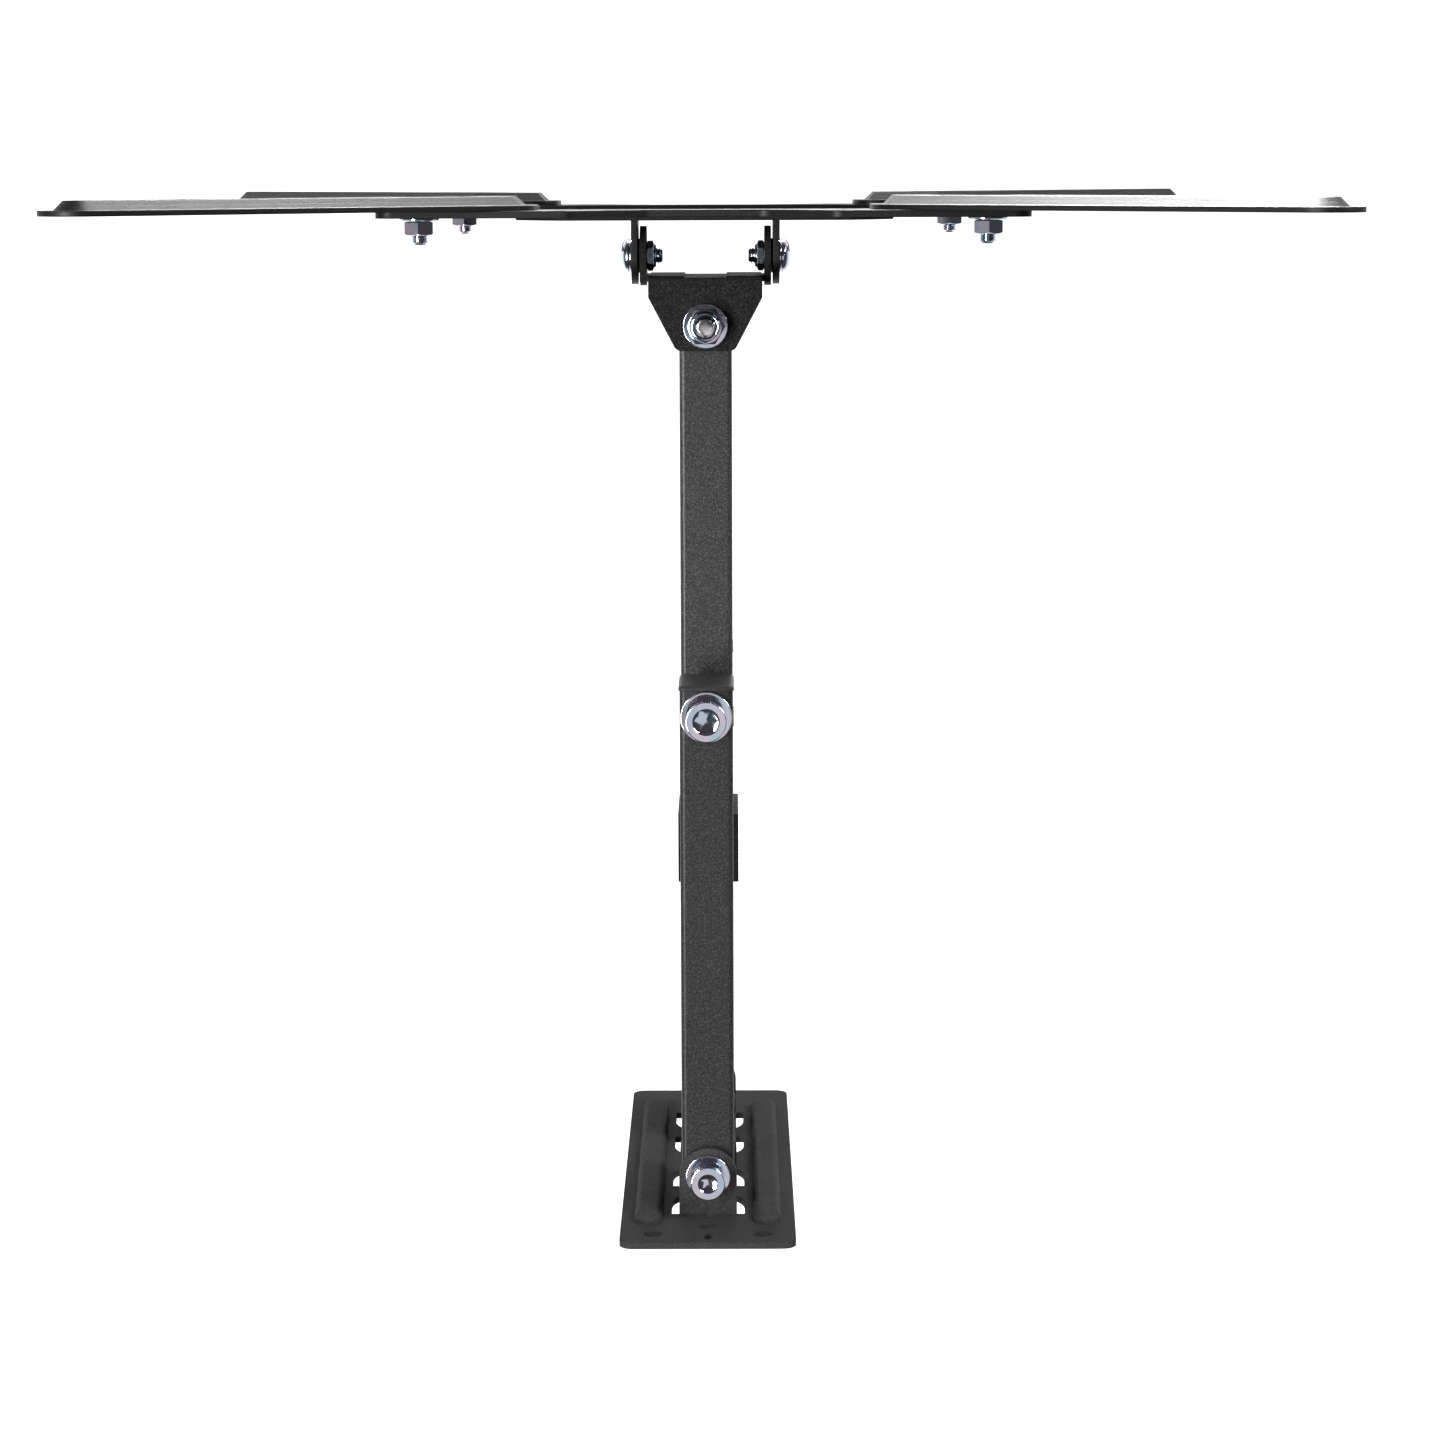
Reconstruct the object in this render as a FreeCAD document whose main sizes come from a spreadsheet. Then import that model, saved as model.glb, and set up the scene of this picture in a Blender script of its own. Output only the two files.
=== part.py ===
import FreeCAD
import Part
import Sketcher
import math
import os
import re

# Swivel wall mount for a television, in millimetres. The wall is the plane Y = 0, the mount reaches
# out of it along -Y ("out" in the names below is a distance from the wall) and +Z is up. The origin
# is the middle of the wall plate's back face, and the arms stand straight out from the wall.

SIZES = {
    # wall plate: pressed sheet with four hinge ears bent out of its windows
    "plate_width": 66,
    "plate_height": 200,
    "plate_sheet": 2.5,
    "plate_corner": 5,
    "wall_screw_side": 12.5,
    "wall_screw_end": 10,
    "wall_screw_radius": 3.5,
    "hang_hole_end": 18.8,
    "hang_hole_radius": 3.6,
    "hang_slot_inner": 9,
    "hang_slot_outer": 5.6,
    "hang_slot_radius": 1.6,
    "bead_x": 22.6,
    "bead_half_width": 5.3,
    "bead_half_length": 78,
    "bead_height": 3,
    "bead_round": 2.4,
    "window_half_width": 14,
    "window_straight": 13,
    "ear_half_width": 11,
    "gusset_half_width": 4,
    "gusset_rise": 5.2,
    "gusset_reach": 5,
    # arms: two parallel wall tubes, and one deeper tube between them
    "wall_pivot_out": 17.3,
    "wall_arm_length": 177,
    "tv_arm_length": 143,
    "tube_width": 20,
    "tube_depth": 30,
    "tube_wall": 1.5,
    "tube_round": 2,
    "tv_tube_depth": 44,
    "spacer_length": 11.25,
    "spacer_radius": 9,
    "slip_thick": 0.75,
    "slip_radius": 7.4,
    "wall_end": 8.5,
    "elbow_end": 9.8,
    "head_end": 8,
    "cap_lip": 1.8,
    "cap_overhang": 0.4,
    "cap_round": 1.2,
    "cap_insert": 3.4,
    "cap_clearance": 0.15,
    # cable clip on the lower wall tube
    "clip_from_elbow": 70,
    "clip_length": 28,
    "clip_wall": 2.1,
    "clip_clearance": 0.1,
    "clip_channel": 7,
    "clip_ledge": 2,
    "clip_mouth_half": 4.5,
    "clip_slot_length": 18,
    "clip_slot_height": 8,
    # swivel bracket at the head
    "bracket_sheet": 2.5,
    "bracket_half_width": 21.5,
    "bracket_web_rise": 18.6,
    "bracket_shoulder": 8,
    "bracket_foot_half": 11,
    "bracket_foot_drop": 9.4,
    "bracket_foot_round": 3,
    "bracket_bend": 2,
    "web_relief_half": 8,
    "web_relief_depth": 0.6,
    "side_ear_x": 25,
    "side_ear_radius": 11.3,
    "tilt_rise": 25.6,
    # plate for the television
    "tv_plate_gap": 14.4,
    "tv_sheet": 2.5,
    "tv_step": 1.5,
    "tv_step_wall": 3,
    "tv_half_width": 115,
    "tv_half_height": 110,
    "tv_waist_half_height": 87,
    "tv_waist_half_width": 22,
    "tv_shoulder_half_width": 46,
    "tv_notch_half_height": 17,
    "tv_notch_half_width": 89,
    "tv_notch_mouth": 48,
    "tv_corner_round": 6,
    "tv_panel_half_width": 66,
    "tv_panel_half_height": 68,
    "tv_panel_chamfer": 14,
    "tv_window_half_height": 33,
    "tv_window_outer": 62,
    "tv_window_round": 4,
    "tv_ear_radius": 10.8,
    "vesa_small": 50,
    "vesa_middle": 100,
    "vesa_hole_radius": 2.75,
    # extension arms, measured along the arm from its clamp bolt
    "arm_sheet": 1.8,
    "arm_emboss": 3.2,
    "arm_rim": 5,
    "arm_shoulder": 31,
    "arm_half_width": 26,
    "arm_tip_radius": 13,
    "arm_apex_round": 9,
    "arm_shoulder_round": 12,
    "arm_hole_radius": 4.25,
    "vesa_tip": 200,
    "vesa_third": 171,
    "vesa_second": 150,
    "vesa_first": 135,
    "arm_slot_travel": 14,
    "arm_dish_radius": 10,
    # fasteners
    "pin_clearance": 0.06,
    "pivot_radius": 4,
    "pivot_head_radius": 6.5,
    "pivot_head_height": 8,
    "pivot_chamfer": 0.6,
    "pivot_socket_flats": 6,
    "pivot_socket_depth": 4.5,
    "pivot_washer_radius": 8.5,
    "pivot_washer_thick": 1.6,
    "pivot_nut_flats": 13,
    "pivot_nut_hex": 6.2,
    "pivot_nut_height": 8,
    "pivot_nut_collar_radius": 5.7,
    "pivot_tail": 2.2,
    "elbow_radius": 5,
    "elbow_head_radius": 7.7,
    "elbow_head_height": 10,
    "elbow_chamfer": 0.7,
    "elbow_socket_flats": 8,
    "elbow_socket_depth": 5.5,
    "elbow_washer_radius": 9.7,
    "elbow_washer_thick": 2,
    "elbow_nut_flats": 16,
    "elbow_nut_hex": 7.5,
    "elbow_nut_height": 10,
    "elbow_nut_collar_radius": 7,
    "elbow_tail": 2.4,
    "screw_radius": 3,
    "tilt_head_radius": 6.5,
    "tilt_head_height": 3.6,
    "tilt_head_round": 2.8,
    "tilt_washer_radius": 6.5,
    "tilt_washer_thick": 0.9,
    "screw_nut_flats": 10,
    "tilt_nut_hex": 2.8,
    "tilt_nut_height": 3.7,
    "screw_nut_collar_radius": 4.4,
    "tilt_tail": 2.5,
    "clamp_head_radius": 6.6,
    "clamp_head_height": 3,
    "clamp_head_round": 2.4,
    "clamp_nut_height": 6,
    "clamp_flange_radius": 7,
    "clamp_flange_height": 1.4,
    "clamp_tail": 3.4,
}

# Places that several sub-parts share, as expressions of the sizes.
ELBOW_OUT = "(wall_pivot_out + wall_arm_length)"
HEAD_OUT = "(wall_pivot_out + wall_arm_length + tv_arm_length)"
TV_TUBE_FACE = "(tv_tube_depth / 2)"
TUBE_NEAR = "(tv_tube_depth / 2 + spacer_length)"
TUBE_FAR = "(tv_tube_depth / 2 + spacer_length + tube_depth)"
INNER_EAR = f"({TUBE_NEAR} - slip_thick - plate_sheet)"
OUTER_EAR = f"({TUBE_FAR} + slip_thick)"
OUTER_EAR_FACE = f"({OUTER_EAR} + plate_sheet)"
BRACKET_EAR = f"({TV_TUBE_FACE} + slip_thick)"
BRACKET_EAR_FACE = f"({BRACKET_EAR} + bracket_sheet)"
WALL_SCREW_X = "(plate_width / 2 - wall_screw_side)"
WALL_SCREW_Z = "(plate_height / 2 - wall_screw_end)"
WEB_OUT = f"({HEAD_OUT} + bracket_web_rise)"
TILT_OUT = f"({HEAD_OUT} + tilt_rise)"
TV_BACK = f"({TILT_OUT} + tv_plate_gap)"
LOBE_BACK = f"({TV_BACK} + tv_step)"
LOBE_FRONT = f"({LOBE_BACK} + tv_sheet)"
TV_EAR_X = "(side_ear_x + slip_thick)"
TV_EAR_FACE_X = f"({TV_EAR_X} + tv_sheet)"
PIVOT_HOLE = "(pivot_radius + pin_clearance)"
ELBOW_HOLE = "(elbow_radius + pin_clearance)"
SCREW_HOLE = "(screw_radius + pin_clearance)"

# Turns that lay a piece built along +Z where it belongs.
UPRIGHT = FreeCAD.Rotation()
UPSIDE_DOWN = FreeCAD.Rotation(FreeCAD.Vector(1, 0, 0), 180)
TO_PLUS_X = FreeCAD.Rotation(FreeCAD.Vector(0, 1, 0), 90)
TO_MINUS_X = FreeCAD.Rotation(FreeCAD.Vector(0, 1, 0), -90)
TO_ROOM = FreeCAD.Rotation(FreeCAD.Vector(1, 0, 0), 90)
TO_WALL = FreeCAD.Rotation(FreeCAD.Vector(1, 0, 0), -90)

# Corners of the plate for the television, seen from the room: name, side in X, side in Z.
CORNERS = (("upper_right", 1, 1), ("upper_left", -1, 1), ("lower_left", -1, -1), ("lower_right", 1, -1))

doc = FreeCAD.newDocument("tv_wall_mount")
sheet = doc.addObject("Spreadsheet::Sheet", "Sizes")
nodes = []


def fill_sheet():
    for row, (alias, size) in enumerate(SIZES.items(), start=1):
        sheet.set(f"A{row}", alias)
        sheet.set(f"B{row}", str(size))
        sheet.setAlias(f"B{row}", alias)
    doc.recompute()


def cells(text):
    """The expression with every size's name turned into its cell."""
    return re.sub(r"[a-z_]+", lambda word: f"Sizes.{word[0]}" if word[0] in SIZES else word[0], text)


def number(text):
    return float(sheet.evalExpression(cells(text)))


def bind(item, **properties):
    for name, text in properties.items():
        item.setExpression(name.replace("__", "."), cells(text))


def place(item, out, x="0", z="0", turn=UPRIGHT):
    """Puts an object at a distance from the wall, bound to the sizes."""
    item.Placement = FreeCAD.Placement(FreeCAD.Vector(), turn)
    bind(item, Placement__Base__x=x, Placement__Base__y=f"-({out})", Placement__Base__z=z)


def node(item, label):
    """Counts an object as a sub-part that is written to its own file."""
    item.Label = label
    nodes.append(item)
    return item


def group(label, items):
    bundle = doc.addObject("Part::Compound", label)
    bundle.Links = items
    return node(bundle, label)


# Sketches


def new_body(label):
    return doc.addObject("PartDesign::Body", label)


def new_sketch(body, plane, offset="0"):
    """A sketch on the body's XY (facing up), XZ (facing the room) or YZ plane (facing +X)."""
    sketch = body.newObject("Sketcher::SketchObject", f"{body.Label}_sketch")
    support = next(item for item in body.Origin.OriginFeatures if item.Role == f"{plane}_Plane")
    sketch.AttachmentSupport = (support, "")
    sketch.MapMode = "FlatFace"
    bind(sketch, AttachmentOffset__Base__z=offset)
    return sketch


def spot(x, y):
    return FreeCAD.Vector(number(x), number(y), 0)


def bind_constraint(sketch, constraint, text):
    index = sketch.addConstraint(constraint)
    sketch.setExpression(f"Constraints[{index}]", cells(text))


def pin(sketch, geometry, point, x, y):
    """Holds a point of the sketch at bound distances from the sketch's origin."""
    for kind, text in (("DistanceX", x), ("DistanceY", y)):
        constraint = Sketcher.Constraint(kind, -1, 1, geometry, point, number(text))
        bind_constraint(sketch, constraint, text)


def set_radius(sketch, geometry, radius):
    bind_constraint(sketch, Sketcher.Constraint("Radius", geometry, number(radius)), radius)


def add_outline(sketch, points):
    """A closed outline of straight lines through bound points."""
    first = sketch.GeometryCount
    count = len(points)
    for index in range(count):
        sketch.addGeometry(Part.LineSegment(spot(*points[index]), spot(*points[(index + 1) % count])))
    for index in range(count):
        following = first + (index + 1) % count
        sketch.addConstraint(Sketcher.Constraint("Coincident", first + index, 2, following, 1))
        pin(sketch, first + index, 1, *points[index])


def add_rectangle(sketch, low_x, low_y, high_x, high_y):
    add_outline(sketch, [(low_x, low_y), (high_x, low_y), (high_x, high_y), (low_x, high_y)])


def add_circle(sketch, x, y, radius):
    circle = sketch.addGeometry(Part.Circle(spot(x, y), FreeCAD.Vector(0, 0, 1), number(radius)))
    pin(sketch, circle, 3, x, y)
    set_radius(sketch, circle, radius)


def add_slot(sketch, start, end, radius):
    """A slot with half-round ends about two bound centres."""
    centres = spot(*start), spot(*end)
    along = (centres[1] - centres[0]).normalize() * number(radius)
    aside = FreeCAD.Vector(along.y, -along.x, 0)
    side_a = sketch.addGeometry(Part.LineSegment(centres[0] + aside, centres[1] + aside))
    far = sketch.addGeometry(Part.Arc(centres[1] + aside, centres[1] + along, centres[1] - aside))
    side_b = sketch.addGeometry(Part.LineSegment(centres[1] - aside, centres[0] - aside))
    near = sketch.addGeometry(Part.Arc(centres[0] - aside, centres[0] - along, centres[0] + aside))
    for one, other in ((side_a, far), (far, side_b), (side_b, near), (near, side_a)):
        sketch.addConstraint(Sketcher.Constraint("Tangent", one, 2, other, 1))
    for arc, centre in ((near, start), (far, end)):
        pin(sketch, arc, 3, *centre)
        set_radius(sketch, arc, radius)


def hexagon(flats):
    half, corner, shoulder = f"{flats} / 2", f"{flats} / sqrt(3)", f"{flats} / sqrt(12)"
    return [("0", f"-{corner}"), (half, f"-{shoulder}"), (half, shoulder),
            ("0", corner), (f"-{half}", shoulder), (f"-{half}", f"-{shoulder}")]


def four_ways(points):
    """A quarter outline from the +Y axis round to the +X axis, mirrored into all four quarters."""
    half = points + [(x, f"-({y})") for x, y in reversed(points)]
    return half + [(f"-({x})", y) for x, y in reversed(half)]


# Features


def pad(body, sketch, length, taper=None):
    feature = body.newObject("PartDesign::Pad", f"{body.Label}_pad")
    feature.Profile = sketch
    bind(feature, Length=length)
    if taper:
        bind(feature, TaperAngle=taper)
    doc.recompute()


def pocket(body, sketch, depth=None, forward=False):
    """Cuts the sketch out, through everything or to a depth behind or in front of its plane."""
    before = body.Shape.Volume
    feature = body.newObject("PartDesign::Pocket", f"{body.Label}_pocket")
    feature.Profile = sketch
    if depth is None:
        feature.Type = "ThroughAll"
        feature.SideType = "Symmetric"
    else:
        bind(feature, Length=depth)
        feature.Reversed = forward
    doc.recompute()
    if body.Shape.Volume > before - 1e-3:
        raise RuntimeError(f"{body.Label}: a pocket removes nothing")


def turn_profile(body, points):
    """A round piece about the body's Z axis, from its half section as radius and height."""
    sketch = new_sketch(body, "XZ")
    add_outline(sketch, points)
    feature = body.newObject("PartDesign::Revolution", f"{body.Label}_turned")
    feature.Profile = sketch
    feature.ReferenceAxis = (sketch, ["V_Axis"])
    feature.Angle = 360
    doc.recompute()


def round_edges(body, radius, wanted):
    """Fillets the edges for which wanted(edge) holds."""
    base = body.Tip
    names = [f"Edge{index}" for index, edge in enumerate(base.Shape.Edges, start=1) if wanted(edge)]
    if not names:
        raise RuntimeError(f"{body.Label}: no edge to round")
    feature = body.newObject("PartDesign::Fillet", f"{body.Label}_round")
    feature.Base = (base, names)
    bind(feature, Radius=radius)
    doc.recompute()


def runs_along(edge, axis):
    if not isinstance(edge.Curve, Part.Line):
        return False
    return abs(abs(getattr(edge.Curve.Direction, axis)) - 1) < 1e-6


def lies_at(edge, **places):
    """Whether the whole edge lies at the given places along the named axes, whatever their sign."""
    box = edge.BoundBox
    spans = {"x": (box.XMin, box.XMax), "y": (box.YMin, box.YMax), "z": (box.ZMin, box.ZMax)}
    return all(abs(abs(end) - number(text)) < 1e-3 for axis, text in places.items() for end in spans[axis])


def rounded_tab(body, plane, offset, thick, root, tip, half_width, along):
    """A flat tab from its root to a half-round end about tip; along is its direction in the sketch."""
    flat = new_sketch(body, plane, offset)
    ends = sorted((root, tip), key=number)
    if along == "x":
        add_rectangle(flat, ends[0], f"-{half_width}", ends[1], half_width)
        centre = (tip, "0")
    else:
        add_rectangle(flat, f"-{half_width}", ends[0], half_width, ends[1])
        centre = ("0", tip)
    pad(body, flat, thick)
    end = new_sketch(body, plane, offset)
    add_circle(end, *centre, half_width)
    pad(body, end, thick)


def drill(body, plane, holes, radius):
    sketch = new_sketch(body, plane)
    for x, y in holes:
        add_circle(sketch, x, y, radius)
    pocket(body, sketch)


def ring(name, outer, inner, thick):
    """A flat ring that lies upwards from Z = 0, as a washer."""
    item = doc.addObject("Part::Cut", name)
    item.Base = doc.addObject("Part::Cylinder", f"{name}_disc")
    item.Tool = doc.addObject("Part::Cylinder", f"{name}_hole")
    bind(item.Base, Radius=outer, Height=thick)
    bind(item.Tool, Radius=inner, Height=thick)
    return item


# Fasteners: each is built on the Z axis, heads and nuts upwards from Z = 0 and shanks below it


def cap_screw(label, length, size):
    """A socket-head screw with the pivots' or the elbow's set of sizes."""
    body = new_body(label)
    turn_profile(body, [
        ("0", f"-({length})"),
        (f"{size}_radius - {size}_chamfer", f"-({length})"),
        (f"{size}_radius", f"{size}_chamfer - ({length})"),
        (f"{size}_radius", "0"),
        (f"{size}_head_radius", "0"),
        (f"{size}_head_radius", f"{size}_head_height - {size}_chamfer"),
        (f"{size}_head_radius - {size}_chamfer", f"{size}_head_height"),
        ("0", f"{size}_head_height"),
    ])
    socket = new_sketch(body, "XY", f"{size}_head_height")
    add_outline(socket, hexagon(f"{size}_socket_flats"))
    pocket(body, socket, f"{size}_socket_depth")
    return body


def dome_screw(label, length, head_radius, head_height, head_round):
    body = new_body(label)
    turn_profile(body, [
        ("0", f"-({length})"),
        ("screw_radius", f"-({length})"),
        ("screw_radius", "0"),
        (head_radius, "0"),
        (head_radius, head_height),
        ("0", head_height),
    ])
    round_edges(body, head_round, lambda edge: lies_at(edge, z=head_height))
    return body


def hex_nut(label, flats, hex_height, shoulder_radius, shoulder_height, bore):
    """A hexagon with a round shoulder: a flange under it, or a locking insert's collar above it."""
    body = new_body(label)
    sides = new_sketch(body, "XY")
    add_outline(sides, hexagon(flats))
    pad(body, sides, hex_height)
    shoulder = new_sketch(body, "XY")
    add_circle(shoulder, "0", "0", shoulder_radius)
    pad(body, shoulder, shoulder_height)
    drill(body, "XY", [("0", "0")], bore)
    return body


def pivot_set(name, out, head_z, nut_z, head_below=False, size="pivot"):
    """A pivot's cap screw, lock nut and washers, the washers lying on head_z and nut_z."""
    side = -1 if head_below else 1
    head_turn, nut_turn = (UPSIDE_DOWN, UPRIGHT) if head_below else (UPRIGHT, UPSIDE_DOWN)
    hole = f"({size}_radius + pin_clearance)"
    grip = f"{side} * ({head_z} - {nut_z}) + 2 * {size}_washer_thick"
    bolt = cap_screw(f"{name}_bolt", f"{grip} + {size}_nut_height + {size}_tail", size)
    place(node(bolt, f"{name}_bolt"), out, z=f"{head_z} + {side} * {size}_washer_thick", turn=head_turn)
    nut = hex_nut(f"{name}_nut", f"{size}_nut_flats", f"{size}_nut_hex", f"{size}_nut_collar_radius",
                  f"{size}_nut_height", hole)
    place(node(nut, f"{name}_nut"), out, z=f"{nut_z} - {side} * {size}_washer_thick", turn=nut_turn)
    washers = []
    for end, seat, turn in (("head", head_z, head_turn), ("nut", nut_z, nut_turn)):
        washer = ring(f"{name}_{end}_washer", f"{size}_washer_radius", hole, f"{size}_washer_thick")
        place(washer, out, z=seat, turn=turn)
        washers.append(washer)
    group(f"{name}_washers", washers)


def spacing_rings(label, out, seats, radius, thick, hole=PIVOT_HOLE):
    """Plastic rings on a pivot, each lying upwards from its seat."""
    rings = []
    for index, seat in enumerate(seats):
        item = ring(f"{label}_{index}", radius, hole, thick)
        place(item, out, z=seat)
        rings.append(item)
    group(label, rings)


# Wall plate


def build_wall_plate():
    body = node(new_body("wall_plate"), "wall_plate")
    outline = new_sketch(body, "XZ")
    add_rectangle(outline, "-plate_width / 2", "-plate_height / 2", "plate_width / 2", "plate_height / 2")
    pad(body, outline, "plate_sheet")
    round_edges(body, "plate_corner", lambda edge: runs_along(edge, "y"))
    for side in ("-1", "1"):
        press_bead(body, f"{side} * bead_x")
    for side in (-1, 1):
        for ear in (INNER_EAR, OUTER_EAR):
            bend_ear(body, ear, side)
        press_gusset(body, side)
    drill(body, "XY", [("0", "-wall_pivot_out")], PIVOT_HOLE)
    screws = [(f"-{WALL_SCREW_X}", WALL_SCREW_Z), (WALL_SCREW_X, WALL_SCREW_Z), ("0", f"-{WALL_SCREW_Z}")]
    drill(body, "XZ", screws, "wall_screw_radius")
    drill(body, "XZ", [("0", "plate_height / 2 - hang_hole_end")], "hang_hole_radius")
    slot = new_sketch(body, "XZ")
    slot_ends = [("0", f"plate_height / 2 - {end}") for end in ("hang_slot_inner", "hang_slot_outer")]
    add_slot(slot, *slot_ends, "hang_slot_radius")
    pocket(body, slot)


def press_bead(body, x):
    """A stiffening bead pressed towards the room, hollow behind."""
    reach = "(bead_half_length - bead_half_width)"
    ends = (x, f"-{reach}"), (x, reach)
    crown = new_sketch(body, "XZ")
    add_slot(crown, *ends, "bead_half_width")
    pad(body, crown, "plate_sheet + bead_height")
    top = "plate_sheet + bead_height"
    middle = number(x)
    round_edges(body, "bead_round",
                lambda edge: lies_at(edge, y=top) and edge.BoundBox.Center.x * middle > 0)
    hollow = new_sketch(body, "XZ")
    add_slot(hollow, *ends, "bead_half_width - plate_sheet")
    pocket(body, hollow, "bead_height", forward=True)


def bend_ear(body, ear, side):
    """A hinge ear and the window that it is bent out of, on the plate's upper or lower half."""
    flat = f"{side} * ({ear} + plate_sheet)"
    crown = f"{side} * ({ear} + plate_sheet - window_straight)"
    low, high = sorted((flat, crown), key=number)
    window = new_sketch(body, "XZ")
    add_rectangle(window, "-window_half_width", low, "window_half_width", high)
    pocket(body, window)
    drill(body, "XZ", [("0", crown)], "window_half_width")
    base = ear if side > 0 else f"-({ear} + plate_sheet)"
    rounded_tab(body, "XY", base, "plate_sheet", "0", "-wall_pivot_out", "ear_half_width", "y")


def press_gusset(body, side):
    """A pressed rib that stiffens the bend of an outer ear, highest in its middle."""
    sections = []
    for offset, share in (("-gusset_half_width", 0.1), ("0", 1), ("gusset_half_width", 0.1)):
        section = new_sketch(body, "YZ", offset)
        root, bend = "-plate_sheet / 2", f"{side} * ({OUTER_EAR} + plate_sheet / 2)"
        add_outline(section, [
            (root, bend),
            (f"-(plate_sheet + gusset_rise * {share})", bend),
            (root, f"{side} * ({OUTER_EAR_FACE} + gusset_reach * {share})"),
        ])
        sections.append(section)
    doc.recompute()
    rib = body.newObject("PartDesign::AdditiveLoft", f"{body.Label}_gusset")
    rib.Profile = sections[0]
    rib.Sections = sections[1:]
    rib.Ruled = True
    doc.recompute()


# Arms


def add_tube_section(sketch, middle_z, depth, grow):
    """A tube's rectangle, grown on every side."""
    width, height = f"(tube_width / 2 + {grow})", f"(({depth}) / 2 + {grow})"
    add_rectangle(sketch, f"-{width}", f"{middle_z} - {height}", width, f"{middle_z} + {height}")


def build_tube(label, start, end, middle_z, depth, pivot):
    """A rectangular tube that runs outwards from start to end, drilled at one pivot and the elbow."""
    body = node(new_body(label), label)
    section = new_sketch(body, "XZ", start)
    add_tube_section(section, middle_z, depth, "0")
    pad(body, section, f"{end} - ({start})")
    round_edges(body, "tube_round", lambda edge: runs_along(edge, "y"))
    bore = new_sketch(body, "XZ")
    add_tube_section(bore, middle_z, depth, "-tube_wall")
    pocket(body, bore)
    drill(body, "XY", [("0", f"-{pivot}")], PIVOT_HOLE)
    drill(body, "XY", [("0", f"-{ELBOW_OUT}")], ELBOW_HOLE)


def build_end_cap(label, end, middle_z, depth, towards_wall=False):
    """A plastic cap on a tube's end, with a lip outside and a plug inside the tube."""
    body = node(new_body(label), label)
    lip_start = f"{end} - cap_lip" if towards_wall else end
    lip = new_sketch(body, "XZ", lip_start)
    add_tube_section(lip, middle_z, depth, "cap_overhang")
    pad(body, lip, "cap_lip")
    round_edges(body, "tube_round", lambda edge: runs_along(edge, "y"))
    face = f"{end} - cap_lip" if towards_wall else f"{end} + cap_lip"
    round_edges(body, "cap_round", lambda edge: lies_at(edge, y=face))
    plug_start = end if towards_wall else f"{end} - cap_insert"
    plug = new_sketch(body, "XZ", plug_start)
    add_tube_section(plug, middle_z, depth, "-(tube_wall + cap_clearance)")
    pad(body, plug, "cap_insert")


def build_cable_clip():
    """A plastic channel snapped over the lower wall tube, with room for cables under the tube."""
    body = node(new_body("cable_clip"), "cable_clip")
    inner, outer = "(tube_width / 2 + clip_clearance)", "(tube_width / 2 + clip_clearance + clip_wall)"
    top = f"clip_clearance - {TUBE_NEAR}"
    ledge = f"(-{TUBE_FAR} - clip_clearance)"
    floor = f"({ledge} - clip_ledge - clip_channel)"
    section = new_sketch(body, "XZ", f"{ELBOW_OUT} - clip_from_elbow - clip_length / 2")
    right = [
        (outer, f"{top} + clip_wall"),
        (outer, f"{floor} - clip_wall"),
        ("clip_mouth_half", f"{floor} - clip_wall"),
        ("clip_mouth_half", floor),
        (inner, floor),
        (inner, f"{ledge} - clip_ledge"),
        (f"{inner} - clip_ledge", f"{ledge} - clip_ledge"),
        (f"{inner} - clip_ledge", ledge),
        (inner, ledge),
        (inner, top),
    ]
    add_outline(section, right + [(f"-({x})", y) for x, y in reversed(right)])
    pad(body, section, "clip_length")
    round_edges(body, "clip_wall / 2", lambda edge: runs_along(edge, "y") and lies_at(edge, x=outer))
    slot = new_sketch(body, "YZ")
    middle_out = f"({ELBOW_OUT} - clip_from_elbow)"
    middle_z = f"(-({TUBE_NEAR} + {TUBE_FAR}) / 2)"
    add_rectangle(slot, f"-{middle_out} - clip_slot_length / 2", f"{middle_z} - clip_slot_height / 2",
                  f"-{middle_out} + clip_slot_length / 2", f"{middle_z} + clip_slot_height / 2")
    pocket(body, slot)


def build_arms():
    tube_middle = f"(({TUBE_NEAR} + {TUBE_FAR}) / 2)"
    elbow_tip = f"({ELBOW_OUT} + elbow_end)"
    for name, side in (("upper", 1), ("lower", -1)):
        middle = f"{side} * {tube_middle}"
        build_tube(f"{name}_wall_tube", "(wall_pivot_out - wall_end)", elbow_tip, middle, "tube_depth",
                   "wall_pivot_out")
        build_end_cap(f"{name}_tube_cap", elbow_tip, middle, "tube_depth")
        face = f"{side} * {OUTER_EAR_FACE}"
        pivot_set(f"{name}_wall_pivot", "wall_pivot_out", face, f"{side} * {INNER_EAR}", head_below=side < 0)
    spacing_rings("wall_slip_washers", "wall_pivot_out",
                  (f"{TUBE_NEAR} - slip_thick", TUBE_FAR, f"-{TUBE_NEAR}", f"-{TUBE_FAR} - slip_thick"),
                  "slip_radius", "slip_thick")
    pivot_set("elbow", ELBOW_OUT, TUBE_FAR, f"-{TUBE_FAR}", size="elbow")
    spacing_rings("elbow_spacers", ELBOW_OUT, (TV_TUBE_FACE, f"-{TUBE_NEAR}"),
                  "spacer_radius", "spacer_length", ELBOW_HOLE)
    build_cable_clip()
    tv_start, tv_end = f"({ELBOW_OUT} - elbow_end)", f"({HEAD_OUT} + head_end)"
    build_tube("tv_arm_tube", tv_start, tv_end, "0", "tv_tube_depth", HEAD_OUT)
    build_end_cap("tv_arm_elbow_cap", tv_start, "0", "tv_tube_depth", towards_wall=True)
    build_end_cap("tv_arm_head_cap", tv_end, "0", "tv_tube_depth")


# Head


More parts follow.
